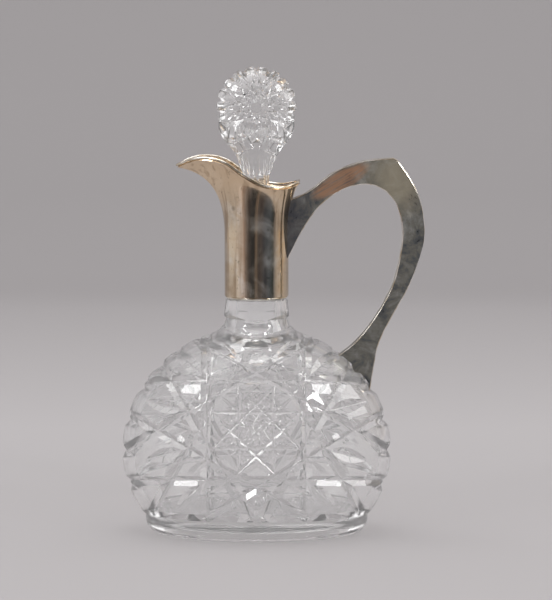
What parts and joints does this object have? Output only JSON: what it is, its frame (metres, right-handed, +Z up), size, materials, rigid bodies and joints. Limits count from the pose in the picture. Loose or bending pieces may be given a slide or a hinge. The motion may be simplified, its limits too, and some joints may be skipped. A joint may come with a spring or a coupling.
{
  "type": "silver-mounted decanter",
  "caption": "Flattened cut-glass decanter with a silver collar and pouring spout, a loop handle down to its shoulder and a lift-out glass stopper.",
  "frame": {"origin": "middle of the flat underside of the foot, on the axis of the neck", "axes": "+Z up along the neck's axis; +X towards the handle, with the spout towards -X; -Y towards the viewer of the pictured cut face"},
  "size_m": [0.1788, 0.104, 0.2766],
  "materials": {
    "cut_glass": "clear lead crystal, wheel cut and polished, with a plain polished neck and foot",
    "stopper_glass": "clear lead crystal, wheel cut and polished, with a ground peg",
    "collar_silver": "polished silver sheet, lightly tarnished to a warm tone",
    "silver_wire": "polished silver wire",
    "handle_silver": "smooth silver sheet under a grey-olive tarnish with coppery patches",
    "handle_edge_silver": "smooth silver sheet, rubbed brighter along its edges",
    "plaster": "matt setting plaster"
  },
  "bodies": {
    "jug": {"glass_body": "cut_glass", "neck_cement": "plaster", "handle_cement": "plaster", "collar": "collar_silver", "collar_rim_wire": "silver_wire", "collar_foot_wire": "silver_wire", "handle_front_cheek": "handle_silver", "handle_rear_cheek": "handle_silver", "handle_outer_strip": "handle_edge_silver", "handle_inner_strip": "handle_edge_silver"},
    "stopper": {"stopper": "stopper_glass"}
  },
  "joints": [
    {"name": "stopper_lift", "type": "slide", "parent": "jug", "child": "stopper", "axis": [0, 0, 1], "range_m": [0, 0.072]}
  ]
}
